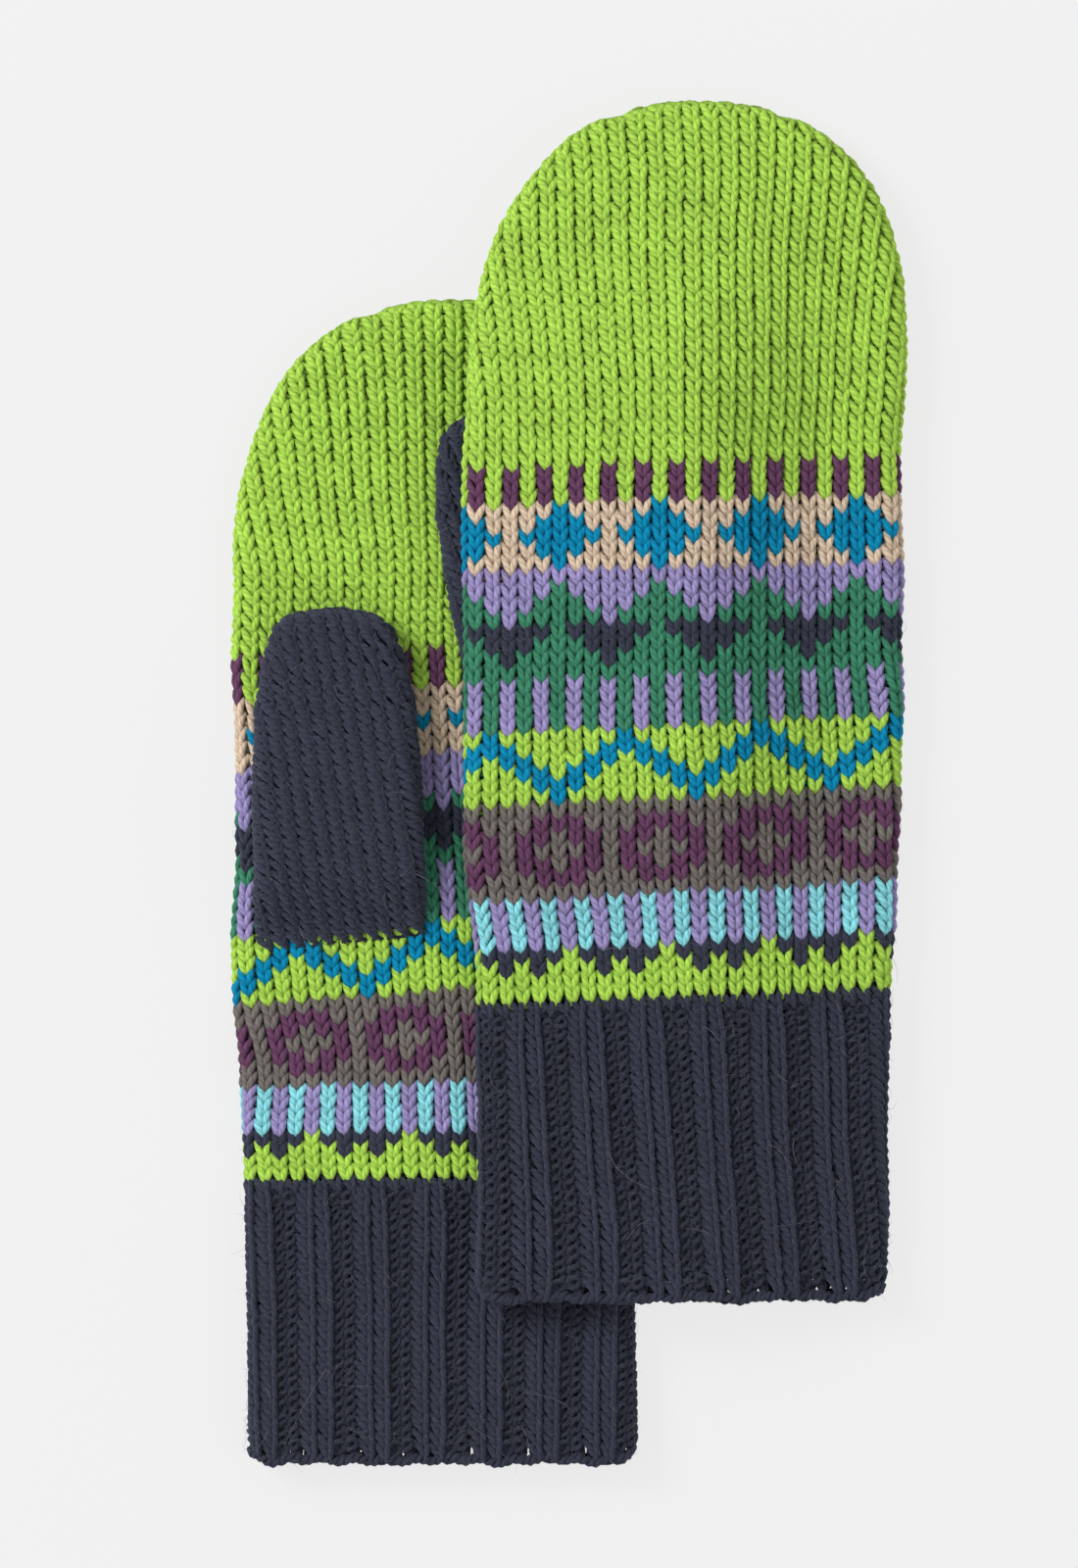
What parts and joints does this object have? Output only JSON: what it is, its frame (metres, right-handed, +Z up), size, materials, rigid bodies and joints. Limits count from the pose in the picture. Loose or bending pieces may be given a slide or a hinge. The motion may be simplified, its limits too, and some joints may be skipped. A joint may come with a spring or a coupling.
{
  "type": "pair of knitted mittens",
  "caption": "Hand-knitted wool mittens in stranded colourwork with ribbed cuffs and plain thumbs, lying flat with the right one across the left.",
  "frame": {"origin": "centre of the bounding box's base, on the surface the pair lies on", "axes": "+Y from the cuffs to the fingertips, +X towards the right mitten, +Z up off the surface"},
  "size_m": [0.1532, 0.3104, 0.0282],
  "materials": {
    "yarn_navy": "soft matt navy wool yarn",
    "yarn_lime": "soft matt lime wool yarn",
    "yarn_turquoise": "soft matt turquoise wool yarn",
    "yarn_grey": "soft matt grey wool yarn",
    "yarn_blue": "soft matt blue wool yarn",
    "yarn_green": "soft matt green wool yarn",
    "yarn_lilac": "soft matt lilac wool yarn",
    "yarn_beige": "soft matt beige wool yarn",
    "yarn_plum": "soft matt plum wool yarn"
  },
  "bodies": {
    "left_mitten": {"left_cuff_edge": "yarn_navy", "left_cuff_rib": "yarn_navy", "left_wave_band": "yarn_lime", "left_turquoise_bars": "yarn_turquoise", "left_medallion_band": "yarn_grey", "left_zigzag_band": "yarn_blue", "left_green_bars": "yarn_green", "left_navy_peaks": "yarn_navy", "left_lilac_scallops": "yarn_lilac", "left_diamond_band": "yarn_beige", "left_plum_bars": "yarn_plum", "left_finger_band": "yarn_lime", "left_crown": "yarn_lime"},
    "left_thumb": {"left_thumb": "yarn_navy"},
    "right_mitten": {"right_cuff_edge": "yarn_navy", "right_cuff_rib": "yarn_navy", "right_wave_band": "yarn_lime", "right_turquoise_bars": "yarn_turquoise", "right_medallion_band": "yarn_grey", "right_zigzag_band": "yarn_blue", "right_green_bars": "yarn_green", "right_navy_peaks": "yarn_navy", "right_lilac_scallops": "yarn_lilac", "right_diamond_band": "yarn_beige", "right_plum_bars": "yarn_plum", "right_finger_band": "yarn_lime", "right_crown": "yarn_lime"},
    "right_thumb": {"right_thumb": "yarn_navy"}
  },
  "joints": [
    {"name": "right_mitten_lift", "type": "slide", "parent": "left_mitten", "child": "right_mitten", "axis": [0, 0, 1], "range_m": [0, 0.12]},
    {"name": "left_thumb_fold", "type": "hinge", "parent": "left_mitten", "child": "left_thumb", "pos_m": [-0.0529, -0.0326, 0.0099], "axis": [1, 0, 0], "range_deg": [0, 85]},
    {"name": "right_thumb_swing", "type": "hinge", "parent": "right_mitten", "child": "right_thumb", "pos_m": [-0.0021, 0.0152, 0.0141], "axis": [0, 0, 1], "range_deg": [-10, 6]}
  ]
}
